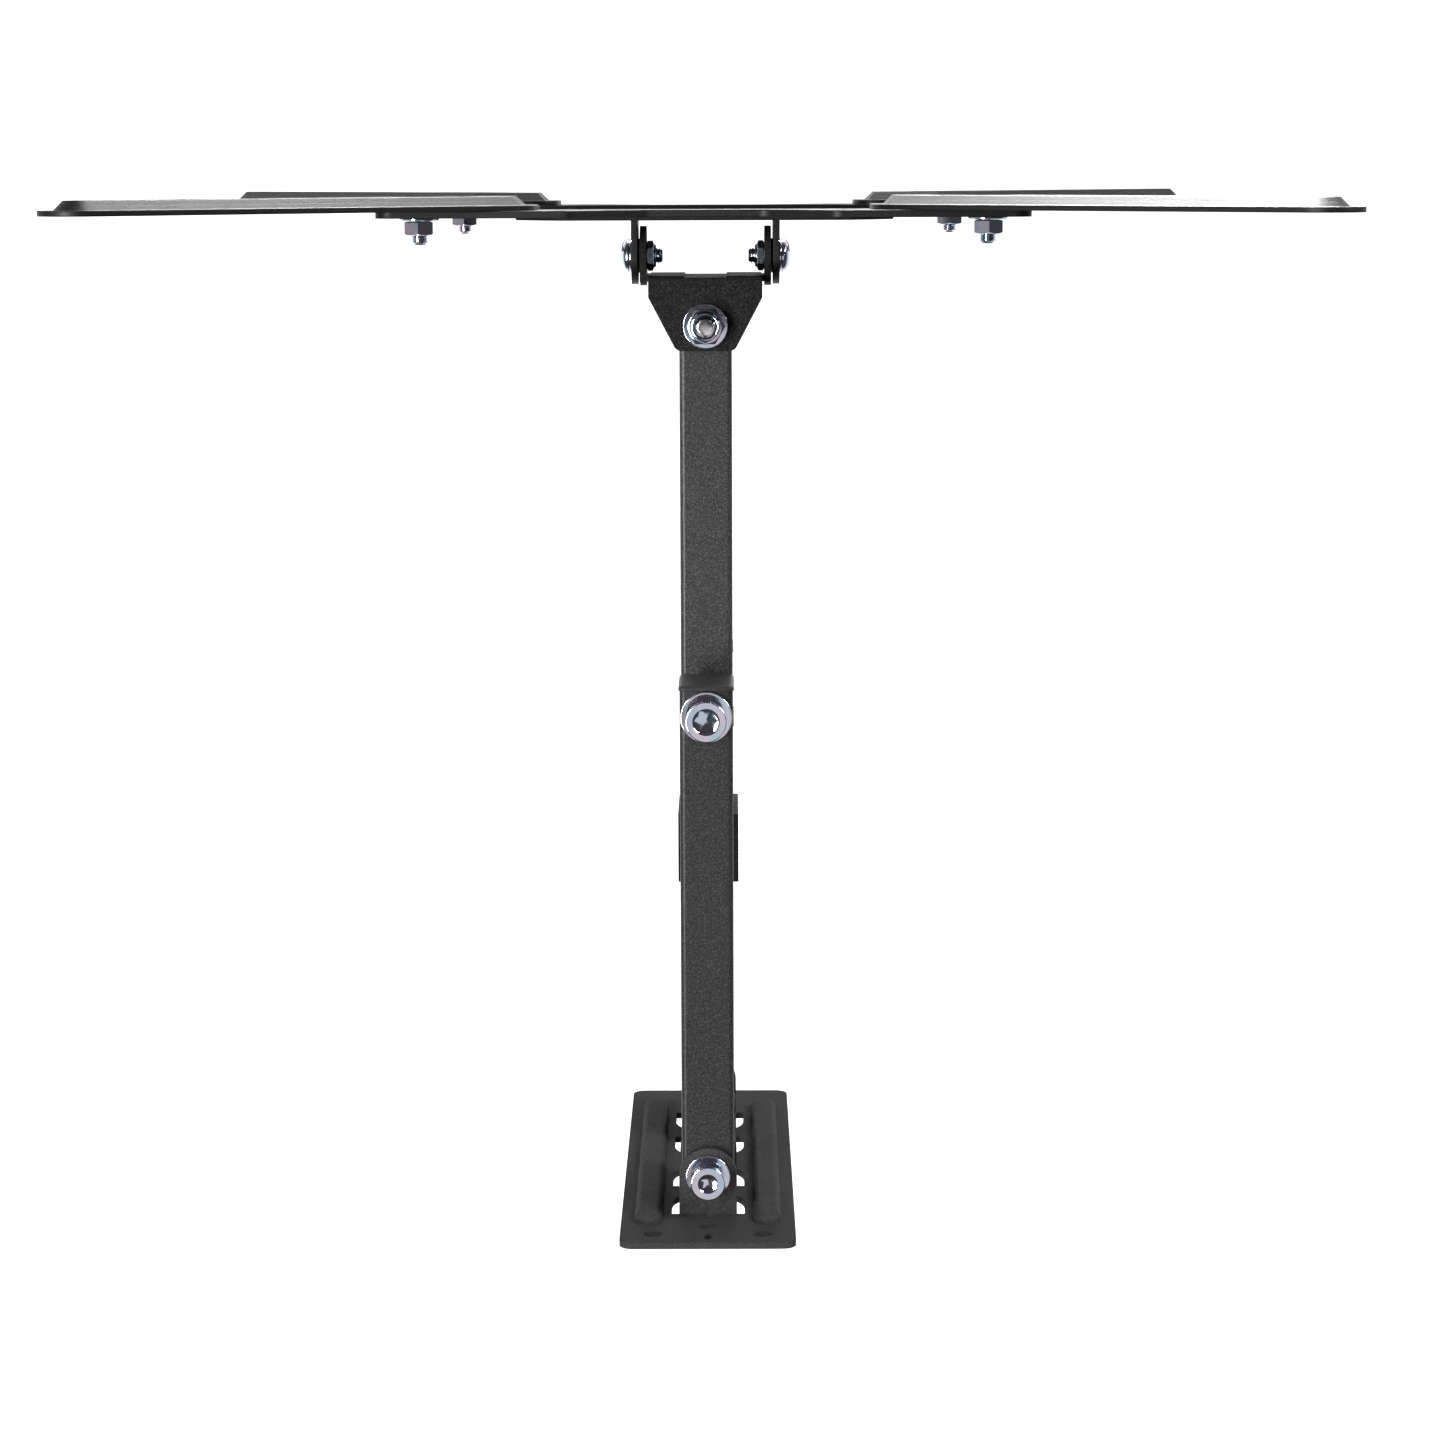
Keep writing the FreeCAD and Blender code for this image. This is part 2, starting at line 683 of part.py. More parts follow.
def build_swivel_bracket():
    """One bent sheet: a web, two tapered ears down the arm and two side ears up to the tilt axis."""
    body = node(new_body("swivel_bracket"), "swivel_bracket")
    web = new_sketch(body, "XZ", f"{WEB_OUT} - bracket_sheet")
    add_outline(web, four_ways([
        ("bracket_half_width", BRACKET_EAR_FACE),
        ("bracket_half_width", "side_ear_radius"),
        ("side_ear_x", "side_ear_radius"),
    ]))
    pad(body, web, "bracket_sheet")
    for start in (BRACKET_EAR, f"-{BRACKET_EAR_FACE}"):
        ear = new_sketch(body, "XY", start)
        shoulder, foot = f"-({WEB_OUT} - bracket_shoulder)", f"-({HEAD_OUT} - bracket_foot_drop)"
        right = [("bracket_half_width", f"-{WEB_OUT}"), ("bracket_half_width", shoulder),
                 ("bracket_foot_half", foot)]
        add_outline(ear, right + [(f"-{x}", y) for x, y in reversed(right)])
        pad(body, ear, "bracket_sheet")
    foot_out = f"{HEAD_OUT} - bracket_foot_drop"
    round_edges(body, "bracket_foot_round",
                lambda edge: runs_along(edge, "z") and lies_at(edge, x="bracket_foot_half", y=foot_out))
    for start in ("side_ear_x - bracket_sheet", "-side_ear_x"):
        rounded_tab(body, "YZ", start, "bracket_sheet", f"-({WEB_OUT} - bracket_sheet)", f"-{TILT_OUT}",
                    "side_ear_radius", "x")
    round_edges(body, "bracket_bend",
                lambda edge: runs_along(edge, "x") and lies_at(edge, y=WEB_OUT, z=BRACKET_EAR_FACE))
    relief = new_sketch(body, "XZ", WEB_OUT)
    add_rectangle(relief, "-web_relief_half", f"-{BRACKET_EAR_FACE}", "web_relief_half", BRACKET_EAR_FACE)
    pocket(body, relief, "web_relief_depth")
    drill(body, "XY", [("0", f"-{HEAD_OUT}")], PIVOT_HOLE)
    drill(body, "YZ", [(f"-{TILT_OUT}", "0")], SCREW_HOLE)


def build_tilt_fasteners():
    screws, nuts, washers, slips = [], [], [], []
    grip = "tilt_washer_thick + tv_sheet + slip_thick + bracket_sheet"
    sides = (("right", 1, TO_PLUS_X, TO_MINUS_X), ("left", -1, TO_MINUS_X, TO_PLUS_X))
    for name, side, outwards, inwards in sides:
        screw = dome_screw(f"tilt_screw_{name}", f"{grip} + tilt_nut_height + tilt_tail",
                           "tilt_head_radius", "tilt_head_height", "tilt_head_round")
        place(screw, TILT_OUT, x=f"{side} * ({TV_EAR_FACE_X} + tilt_washer_thick)", turn=outwards)
        screws.append(screw)
        nut = hex_nut(f"tilt_nut_{name}", "screw_nut_flats", "tilt_nut_hex", "screw_nut_collar_radius",
                      "tilt_nut_height", SCREW_HOLE)
        place(nut, TILT_OUT, x=f"{side} * (side_ear_x - bracket_sheet)", turn=inwards)
        nuts.append(nut)
        washer = ring(f"tilt_washer_{name}", "tilt_washer_radius", SCREW_HOLE, "tilt_washer_thick")
        place(washer, TILT_OUT, x=f"{side} * {TV_EAR_FACE_X}", turn=outwards)
        washers.append(washer)
        slip = ring(f"tilt_slip_{name}", "tilt_washer_radius", SCREW_HOLE, "slip_thick")
        place(slip, TILT_OUT, x=f"{side} * side_ear_x", turn=outwards)
        slips.append(slip)
    group("tilt_screws", screws)
    group("tilt_nuts", nuts)
    group("tilt_washers", washers)
    group("tilt_slip_washers", slips)


def panel_outline(grow):
    """The sunk middle panel of the plate, a rectangle with cut corners."""
    width, height = f"(tv_panel_half_width + {grow})", f"(tv_panel_half_height + {grow})"
    cut = f"(tv_panel_chamfer + {grow} * 0.6)"
    return four_ways([(f"{width} - {cut}", height), (width, f"{height} - {cut}")])


def build_tv_plate():
    """Pressed plate with waisted sides, a sunk middle panel and two ears bent back out of its windows."""
    body = node(new_body("tv_plate"), "tv_plate")
    outline = new_sketch(body, "XZ", TV_BACK)
    corners = [
        ("tv_waist_half_width", "tv_waist_half_height"),
        ("tv_shoulder_half_width", "tv_half_height"),
        ("tv_half_width", "tv_half_height"),
        ("tv_half_width", "tv_notch_mouth"),
        ("tv_notch_half_width", "tv_notch_half_height"),
    ]
    add_outline(outline, four_ways(corners))
    pad(body, outline, "tv_step + tv_sheet")
    round_edges(body, "tv_corner_round", lambda edge: runs_along(edge, "y"))
    sunk = new_sketch(body, "XZ", LOBE_FRONT)
    add_outline(sunk, panel_outline("0"))
    pocket(body, sunk, "tv_step")
    raised = new_sketch(body, "XZ", TV_BACK)
    add_rectangle(raised, "-2 * tv_half_width", "-2 * tv_half_height",
                  "2 * tv_half_width", "2 * tv_half_height")
    add_outline(raised, panel_outline("tv_step_wall"))
    pocket(body, raised, "tv_step", forward=True)
    for side in (-1, 1):
        cut_window(body, side)
    drill(body, "YZ", [(f"-{TILT_OUT}", "0")], SCREW_HOLE)
    pattern = (("vesa_small", "vesa_small"), ("vesa_small", "vesa_middle"), ("vesa_middle", "vesa_small"))
    signs = [(x, z) for x in (-1, 1) for z in (-1, 1)]
    drill(body, "XZ", [(f"{x} * {across}", f"{z} * {up}") for across, up in pattern for x, z in signs],
          "vesa_hole_radius")
    drill(body, "XZ", [(f"{x} * vesa_middle", f"{z} * vesa_middle") for x, z in signs], SCREW_HOLE)


def cut_window(body, side):
    """A window in the middle panel and the tilt ear bent back from its inner edge."""
    low, high = sorted((f"{side} * {TV_EAR_FACE_X}", f"{side} * tv_window_outer"), key=number)
    window = new_sketch(body, "XZ")
    add_rectangle(window, low, "-tv_window_half_height", high, "tv_window_half_height")
    pocket(body, window)
    round_edges(body, "tv_window_round",
                lambda edge: runs_along(edge, "y") and edge.BoundBox.Center.x * side > 0
                and lies_at(edge, x="tv_window_outer", z="tv_window_half_height"))
    start = TV_EAR_X if side > 0 else f"-{TV_EAR_FACE_X}"
    rounded_tab(body, "YZ", start, "tv_sheet", f"-({TV_BACK} + tv_sheet)", f"-{TILT_OUT}",
                "tv_ear_radius", "x")


# Extension arms


def arm_slope():
    """The taper of an arm's sides, which touch the round of its tip."""
    run = "(sqrt(2) * (vesa_tip - vesa_middle) + arm_shoulder)"
    square = f"({run} * {run} - arm_tip_radius * arm_tip_radius)"
    reach = f"sqrt({square} + arm_half_width * arm_half_width)"
    return f"((arm_half_width * {run} - arm_tip_radius * {reach}) / {square})"


def add_arm_outline(sketch, inset):
    """An arm's outline set in from its edge: a square-cornered inner end, straight sides, a round tip."""
    slope = arm_slope()
    stretch = f"sqrt(1 + {slope} * {slope})"
    apex = f"(arm_shoulder + arm_half_width - sqrt(2) * {inset})"
    shoulder_x = f"((arm_half_width - {slope} * arm_shoulder - {stretch} * {inset} - {apex}) / (1 + {slope}))"
    shoulder_y = f"({shoulder_x} + {apex})"
    radius = f"(arm_tip_radius - {inset})"
    tip = "(sqrt(2) * (vesa_tip - vesa_middle))"
    touch_x, touch_y = f"({tip} + {radius} * {slope} / {stretch})", f"({radius} / {stretch})"
    points = [(touch_x, touch_y), (shoulder_x, shoulder_y), (f"-{apex}", "0"),
              (shoulder_x, f"-{shoulder_y}"), (touch_x, f"-{touch_y}")]
    for start, end in zip(points, points[1:]):
        sketch.addGeometry(Part.LineSegment(spot(*start), spot(*end)))
    end_point = spot(tip, "0") + FreeCAD.Vector(number(radius), 0, 0)
    arc = sketch.addGeometry(Part.Arc(spot(*points[-1]), end_point, spot(*points[0])))
    for line in range(arc):
        sketch.addConstraint(Sketcher.Constraint("Coincident", line, 2, line + 1, 1))
        pin(sketch, line, 1, *points[line])
    sketch.addConstraint(Sketcher.Constraint("Coincident", arc, 2, 0, 1))
    pin(sketch, arc, 1, *points[-1])
    set_radius(sketch, arc, radius)


def build_extension_arm(label):
    """A pressed arm along +X from its clamp bolt at the origin: flat rim, raised top, sunk dish."""
    body = node(new_body(label), label)
    rim = new_sketch(body, "XZ")
    add_arm_outline(rim, "0")
    pad(body, rim, "arm_sheet")
    apex = "arm_shoulder + arm_half_width"
    round_edges(body, "arm_apex_round", lambda edge: runs_along(edge, "y") and lies_at(edge, x=apex, z="0"))
    round_edges(body, "arm_shoulder_round",
                lambda edge: runs_along(edge, "y") and edge.BoundBox.Center.x < -number("arm_shoulder") / 2
                and abs(edge.BoundBox.Center.z) > number("arm_half_width") / 2)
    top = new_sketch(body, "XZ", "arm_sheet")
    add_arm_outline(top, "arm_rim")
    pad(body, top, "arm_emboss", taper="-45")
    hollow = new_sketch(body, "XZ")
    add_arm_outline(hollow, "(arm_rim + arm_sheet)")
    pocket(body, hollow, "arm_emboss", forward=True)
    dish_ends = ("-arm_slot_travel", "0"), ("0", "0")
    tub = new_sketch(body, "XZ")
    add_slot(tub, *dish_ends, "arm_dish_radius + arm_sheet")
    pad(body, tub, "arm_emboss")
    dish = new_sketch(body, "XZ", "arm_sheet + arm_emboss")
    add_slot(dish, *dish_ends, "arm_dish_radius")
    pocket(body, dish, "arm_emboss")
    slot = new_sketch(body, "XZ")
    add_slot(slot, *dish_ends, SCREW_HOLE)
    pocket(body, slot)
    along = [f"sqrt(2) * ({place_name} - vesa_middle)"
             for place_name in ("vesa_tip", "vesa_third", "vesa_second", "vesa_first")]
    drill(body, "XZ", [(distance, "0") for distance in along], "arm_hole_radius")
    return body


def build_extension_arms():
    for corner, side_x, side_z in CORNERS:
        x, z = f"{side_x} * vesa_middle", f"{side_z} * vesa_middle"
        arm = build_extension_arm(f"arm_{corner}")
        heading = FreeCAD.Rotation(FreeCAD.Vector(0, 1, 0), -math.degrees(math.atan2(side_z, side_x)))
        place(arm, LOBE_FRONT, x, z, heading)
        bolt = dome_screw(f"arm_bolt_{corner}", "arm_sheet + tv_sheet + clamp_nut_height + clamp_tail",
                          "clamp_head_radius", "clamp_head_height", "clamp_head_round")
        place(node(bolt, f"arm_bolt_{corner}"), f"{LOBE_FRONT} + arm_sheet", x, z, TO_ROOM)
        nut = hex_nut(f"arm_nut_{corner}", "screw_nut_flats", "clamp_nut_height", "clamp_flange_radius",
                      "clamp_flange_height", SCREW_HOLE)
        place(node(nut, f"arm_nut_{corner}"), LOBE_BACK, x, z, TO_WALL)


def check_and_write():
    doc.recompute()
    failed = [item.Name for item in doc.Objects if "Invalid" in item.State or "Error" in item.State]
    failed += [item.Label for item in nodes if item.Shape.isNull() or not item.Shape.isValid()]
    if failed:
        raise RuntimeError(f"not built: {', '.join(failed)}")
    os.makedirs("parts", exist_ok=True)
    for item in nodes:
        item.Shape.exportStep(f"parts/{item.Label}.step")


fill_sheet()
build_wall_plate()
build_arms()
build_swivel_bracket()
pivot_set("head", HEAD_OUT, f"-{BRACKET_EAR_FACE}", BRACKET_EAR_FACE, head_below=True)
spacing_rings("head_slip_washers", HEAD_OUT, (TV_TUBE_FACE, f"-{BRACKET_EAR}"), "slip_radius", "slip_thick")
build_tilt_fasteners()
build_tv_plate()
build_extension_arms()
check_and_write()
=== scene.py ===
import math

import bmesh
import bpy
from mathutils import Matrix, Vector


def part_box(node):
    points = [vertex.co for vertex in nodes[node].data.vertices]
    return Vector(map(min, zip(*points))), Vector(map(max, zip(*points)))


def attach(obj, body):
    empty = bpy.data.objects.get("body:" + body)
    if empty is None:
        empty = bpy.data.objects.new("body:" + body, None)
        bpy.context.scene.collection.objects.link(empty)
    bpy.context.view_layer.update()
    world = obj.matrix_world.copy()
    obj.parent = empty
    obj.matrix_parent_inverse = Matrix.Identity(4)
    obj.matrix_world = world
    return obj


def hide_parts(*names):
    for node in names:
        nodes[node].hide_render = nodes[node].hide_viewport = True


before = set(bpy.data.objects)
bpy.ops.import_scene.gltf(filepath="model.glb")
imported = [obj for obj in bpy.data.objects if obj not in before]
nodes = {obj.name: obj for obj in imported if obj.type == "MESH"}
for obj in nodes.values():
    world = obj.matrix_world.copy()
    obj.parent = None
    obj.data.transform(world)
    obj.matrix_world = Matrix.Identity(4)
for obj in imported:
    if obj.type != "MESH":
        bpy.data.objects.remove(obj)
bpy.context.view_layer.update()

# Looks for the swivel wall mount: painted sheet and tube, moulded plastic, and zinc-plated fasteners
# with their threads, sockets and chamfers. Lengths are in metres, in the part's own frame: the wall is
# the plane Y = 0, the mount reaches out along -Y, and +Z is up.

MM = 0.001
CORNERS = ("upper_right", "upper_left", "lower_left", "lower_right")
UP, DOWN = Vector((0, 0, 1)), Vector((0, 0, -1))
RIGHT, LEFT = Vector((1, 0, 0)), Vector((-1, 0, 0))
ROOM, WALL = Vector((0, -1, 0)), Vector((0, 1, 0))


# Materials


NOISE_LOW, NOISE_HIGH = 0.3, 0.7  # most of a noise texture's values lie between these
EDGE_SAMPLES = 6
BLUE_CAST = 1.02


class Shade:
    """A material with a principled shader, and short ways to add nodes to it."""

    def __init__(self, name):
        self.material = bpy.data.materials.new(name)
        self.material.use_nodes = True
        self.tree = self.material.node_tree
        self.shader = self.tree.nodes["Principled BSDF"]
        self.place = self.tree.nodes.new("ShaderNodeTexCoord").outputs["Object"]

    def add(self, kind, links=(), **values):
        item = self.tree.nodes.new(kind)
        for key, value in values.items():
            item.inputs[key.replace("_", " ")].default_value = value
        for key, source in dict(links).items():
            self.tree.links.new(source, item.inputs[key])
        return item

    def noise(self, scale, detail=2.0, roughness=0.5):
        item = self.add("ShaderNodeTexNoise", {"Vector": self.place}, Scale=scale, Detail=detail,
                        Roughness=roughness)
        return item.outputs["Fac"]

    def ramp(self, source, stops):
        item = self.add("ShaderNodeValToRGB", {"Fac": source})
        band = item.color_ramp
        while len(band.elements) < len(stops):
            band.elements.new(0.5)
        for element, (position, colour) in zip(band.elements, stops):
            element.position = position
            element.color = (*colour, 1)
        return item.outputs["Color"]

    def span(self, source, middle, spread):
        """A value that follows a noise between the two ends of spread, about middle."""
        item = self.add("ShaderNodeMapRange", {"Value": source}, From_Min=NOISE_LOW, From_Max=NOISE_HIGH,
                        To_Min=middle + spread[0], To_Max=middle + spread[1])
        return item.outputs["Result"]

    def soft_edges(self, radius):
        item = self.add("ShaderNodeBevel", Radius=radius)
        item.samples = EDGE_SAMPLES
        return item.outputs["Normal"]

    def bump(self, source, relief, normal=None):
        """A normal raised by source; relief is the bump's strength and depth."""
        links = {"Height": source}
        if normal is not None:
            links["Normal"] = normal
        strength, depth = relief
        return self.add("ShaderNodeBump", links, Strength=strength, Distance=depth).outputs["Normal"]

    def wire(self, **sources):
        for key, source in sources.items():
            self.tree.links.new(source, self.shader.inputs[key.replace("_", " ")])

    def fix(self, **values):
        for key, value in values.items():
            self.shader.inputs[key.replace("_", " ")].default_value = value


def grey(level):
    return (level, level, level * BLUE_CAST)


COAT_STOPS = (0.32, 0.54, 0.76)
COAT_DARKER, COAT_LIGHTER = 0.7, 2.2
COAT_GRAIN_RELIEF = (0.26, 0.08 * MM)
COAT_PEEL_RELIEF = (0.20, 0.18 * MM)
COAT_SPREAD = (-0.06, 0.08)


def powder_coat(name, level, gloss, roughness=0.48, edge=0.45 * MM, speck=1.0):
    """Textured dark paint: fine light specks over a grainy, slightly uneven coat."""
    shade = Shade(name)
    grain = shade.noise(scale=1600, detail=3.0, roughness=0.65)
    peel = shade.noise(scale=800)
    levels = (level * (1 - COAT_DARKER * speck), level, level * (1 + COAT_LIGHTER * speck))
    colour = shade.ramp(grain, [(stop, grey(value)) for stop, value in zip(COAT_STOPS, levels)])
    normal = shade.bump(peel, COAT_PEEL_RELIEF, shade.soft_edges(edge))
    normal = shade.bump(grain, COAT_GRAIN_RELIEF, normal)
    shade.wire(Base_Color=colour, Roughness=shade.span(peel, roughness, COAT_SPREAD), Normal=normal)
    shade.fix(Specular_IOR_Level=gloss)
    return shade.material


PLASTIC_DARKER, PLASTIC_LIGHTER = 0.8, 1.25
PLASTIC_RELIEF = (0.10, 0.04 * MM)
PLASTIC_EDGE = 0.35 * MM
PLASTIC_SPREAD = (-0.05, 0.06)


def moulded_plastic(name, level, gloss, roughness):
    """Dark plastic with a fine grain, its level and sheen drifting slowly over the piece."""
    shade = Shade(name)
    grain = shade.noise(scale=2200)
    flow = shade.noise(scale=45)
    colour = shade.ramp(flow, [(NOISE_LOW, grey(level * PLASTIC_DARKER)),
                               (NOISE_HIGH, grey(level * PLASTIC_LIGHTER))])
    normal = shade.bump(grain, PLASTIC_RELIEF, shade.soft_edges(PLASTIC_EDGE))
    shade.wire(Base_Color=colour, Roughness=shade.span(flow, roughness, PLASTIC_SPREAD), Normal=normal)
    shade.fix(Specular_IOR_Level=gloss)
    return shade.material


ZINC_STOPS = (0.36, 0.64)
ZINC_RELIEF = (0.05, 0.03 * MM)
ZINC_SPREAD = (-0.03, 0.04)


def zinc_plate(name, cool, warm, roughness):
    """Bright plating whose tint drifts between blue and pink, over faint tool marks."""
    shade = Shade(name)
    tint = shade.noise(scale=130, detail=1.5)
    marks = shade.noise(scale=900, roughness=0.6)
    shade.wire(Base_Color=shade.ramp(tint, list(zip(ZINC_STOPS, (cool, warm)))),
               Roughness=shade.span(marks, roughness, ZINC_SPREAD), Normal=shade.bump(marks, ZINC_RELIEF))
    shade.fix(Metallic=1.0)
    return shade.material


# Every part wears one black powder coat. Its level differs from part to part as painted light and shade:
# lighter on the wall plate and the TV arm, darker on the wall arm and the bracket, and darkest on the screen
# plate and its arms, to match how light falls on each.
PAINT_PLATE = powder_coat("powder_coat_wall_plate", level=0.041, gloss=0.008, speck=0.45)
PAINT_WALL_ARM = powder_coat("powder_coat_wall_arm", level=0.022, gloss=0.25, roughness=0.40)
PAINT_TV_ARM = powder_coat("powder_coat_tv_arm", level=0.033, gloss=0.30, roughness=0.36)
PAINT_BRACKET = powder_coat("powder_coat_bracket", level=0.016, gloss=0.04)
PAINT_SCREEN = powder_coat("powder_coat_screen_plate", level=0.005, gloss=0.26, roughness=0.46, edge=0.7 * MM)
PLASTIC = moulded_plastic("black_plastic", level=0.028, gloss=0.16, roughness=0.42)
PLASTIC_CLIP = moulded_plastic("clip_plastic", level=0.010, gloss=0.01, roughness=0.36)
ZINC = zinc_plate("zinc_plate", cool=(0.54, 0.68, 0.82), warm=(0.78, 0.70, 0.80), roughness=0.09)
TIP = zinc_plate("bolt_tip", cool=(0.70, 0.70, 0.72), warm=(0.84, 0.80, 0.79), roughness=0.16)
NYLON = moulded_plastic("nylon_insert", level=0.02, gloss=0.50, roughness=0.30)


def paint_node(name, material):
    mesh = nodes[name].data
    mesh.materials.clear()
    mesh.materials.append(material)


# Meshes: rings of points about a local +Z axis, skinned one to the next


SEGMENTS = 72
HOLD = 0.06 * MM  # a flat strip on each side of a rounding, which keeps its shading to itself
WELD = 0.2e-6
SHARP_ANGLE = math.radians(32)
SECOND = 1  # the index of a piece's second material

HEX_SECTOR = math.radians(60)
NUT_FACE = 0.96  # a nut's round end face, as a share of its width across flats
CHAMFER_SLOPE = math.tan(math.radians(30))
RIM_STEPS, WASHER_STEPS = 5, 3

# Threads, as shares of the pitch, apart from the rows and the crest
THREAD_ROWS = 8
THREAD_DEPTH = 0.55
CREST_START, CREST_RISE = 0.15, 0.7
RUN_OUT = 0.3
TIP_INSET = 0.75
TIP_HEIGHT = 0.35
TIP_DOME = ((1, TIP_HEIGHT), (0.96, 0.12), (0.80, 0.03), (0.45, 0))  # share of the tip's radius, height


def circle(radius, z):
    return lambda angle: (radius, z)


def hex_radius(flats, angle):
    return flats / 2 / math.cos(angle % HEX_SECTOR - HEX_SECTOR / 2)


def hex_corner(flats):
    return flats / math.sqrt(3)


def hexagon(flats, z):
    return lambda angle: (hex_radius(flats, angle), z)


def nut_face(flats):
    return flats / 2 * NUT_FACE


def chamfered_hexagon(flats, z, side):
    """The edge that a cone leaves on a hexagon's end, dipping at each corner."""
    def at(angle):
        radius = hex_radius(flats, angle)
        return radius, z - side * (radius - nut_face(flats)) * CHAMFER_SLOPE
    return at


def arc(radius, z, round_off, steps):
    """Rings round the outer edge of a disc's top, from its side to its upper face."""
    inner, lower = radius - round_off, z - round_off
    turns = [math.pi / 2 * step / steps for step in range(steps + 1)]
    corner = [circle(inner + round_off * math.cos(turn), lower + round_off * math.sin(turn))
              for turn in turns]
    return [circle(radius, lower - HOLD)] + corner + [circle(inner - HOLD, z)]


def thread(radius, pitch, low, high):
    """Rings that follow a right-hand thread from low to high, drawn in to a chamfer at the low end."""
    rows = round((high - low) / pitch * THREAD_ROWS)
    rings = []
    for row in range(rows + 1):
        z = low + (high - low) * row / rows
        reach = radius - TIP_INSET * pitch + (z - low)

        def at(angle, z=z, reach=reach):
            phase = (z / pitch - angle / math.tau) % 1
            crest = min(1, max(0, (abs(2 * phase - 1) - CREST_START) / CREST_RISE))
            return min(radius - THREAD_DEPTH * pitch * (1 - crest), reach), z
        rings.append(at)
    return rings


def skin(bm, rings, frame_of, index=0, cap_last=False):
    """Adds the surface through the rings, its last ring filled on request."""
    loops = []
    for ring in rings:
        loop = []
        for step in range(SEGMENTS):
            angle = math.tau * step / SEGMENTS
            radius, z = ring(angle)
            point = Vector((radius * math.cos(angle), radius * math.sin(angle), z))
            loop.append(bm.verts.new(frame_of @ point))
        loops.append(loop)
    faces = []
    for near, far in zip(loops, loops[1:]):
        for step in range(SEGMENTS):
            after = (step + 1) % SEGMENTS
            faces.append(bm.faces.new((near[step], near[after], far[after], far[step])))
    if cap_last:
        faces.append(bm.faces.new(loops[-1]))
    for face in faces:
        face.material_index = index


def along(origin, direction):
    """A frame whose +Z runs along direction from origin, and whose +X lies level."""
    if direction.z:
        turn = Matrix.Identity(4) if direction.z > 0 else Matrix.Rotation(math.pi, 4, "X")
    else:
        turn = direction.to_track_quat("Z", "Y").to_matrix().to_4x4()
    return Matrix.Translation(origin) @ turn


def finish_piece(name, bm, body, materials, replaced):
    bmesh.ops.remove_doubles(bm, verts=bm.verts, dist=WELD)
    bmesh.ops.recalc_face_normals(bm, faces=bm.faces)
    mesh = bpy.data.meshes.new(name)
    bm.to_mesh(mesh)
    bm.free()
    for material in materials:
        mesh.materials.append(material)
    mesh.shade_smooth()
    mesh.set_sharp_from_angle(angle=SHARP_ANGLE)
    piece = bpy.data.objects.new(name, mesh)
    bpy.context.scene.collection.objects.link(piece)
    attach(piece, body)
    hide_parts(replaced)


def add_shank(bm, frame_of, radius, pitch, length, threaded):
    """A screw's shank below its head at z = 0, threaded towards its tip."""
    start, run_out = -length + threaded, RUN_OUT * pitch
    plain = [circle(radius, 0), circle(radius, start + run_out), circle(radius - run_out, start)]
    skin(bm, plain, frame_of)
    skin(bm, thread(radius, pitch, -length + TIP_HEIGHT * pitch, start), frame_of)
    end = radius - TIP_INSET * pitch
    dome = [circle(end * share, -length + height * pitch) for share, height in TIP_DOME]
    skin(bm, dome, frame_of, SECOND, cap_last=True)


def add_cap_head(bm, frame_of, radius, height, bevel, flats, depth):
    """A socket head: bevelled foot, rounded rim, countersunk hexagon and drilled bottom."""
    under, foot_bevel = radius * 0.5, 0.35 * MM
    mouth, lip = hex_corner(flats) * 1.10, hex_corner(flats) * 1.015
    lip_depth, hex_depth = 0.35 * MM, 0.5 * MM
    bottom, drill, drill_point = height - depth, flats * 0.44, flats * 0.05
    drill_depth, point_depth = 0.15 * MM, 0.5 * MM
    foot = [circle(under, 0), circle(radius - foot_bevel, 0), circle(radius, foot_bevel)]
    rim = arc(radius, height, bevel, RIM_STEPS)
    face = [circle(mouth, height), circle(lip, height - lip_depth)]
    socket = [hexagon(flats, height - hex_depth), hexagon(flats, bottom), circle(drill, bottom - drill_depth),
              circle(drill_point, bottom - point_depth)]
    skin(bm, foot + rim + face + socket, frame_of, cap_last=True)


def add_dome_head(bm, frame_of, radius, height, flats=0, depth=0):
    """A low round head, with a hexagon socket where flats is given."""
    under, foot_inset, foot_height = radius * 0.4, 0.2 * MM, 0.25 * MM
    shoulder = 0.6 * MM
    foot = [circle(under, 0), circle(radius - foot_inset, 0), circle(radius, foot_height)]
    crown = []
    for degrees in range(0, 90, 10):
        turn = math.radians(degrees)
        crown.append(circle(radius * math.cos(turn), shoulder + (height - shoulder) * math.sin(turn)))
    if not flats:
        skin(bm, foot + crown, frame_of, cap_last=True)
        return
    clear, mouth, lip = (hex_corner(flats) * share for share in (1.15, 1.12, 1.02))
    top, lip_rise, hex_depth = height - 0.35 * MM, 0.1 * MM, 0.25 * MM
    bottom, drill_point, point_depth = height - depth, flats * 0.1, 0.5 * MM
    crown = [ring for ring in crown if ring(0)[0] > clear]
    crown += [circle(mouth, top + lip_rise), circle(lip, top - lip_rise)]
    socket = [hexagon(flats, top - hex_depth), hexagon(flats, bottom),
              circle(drill_point, bottom - point_depth)]
    skin(bm, foot + crown + socket, frame_of, cap_last=True)


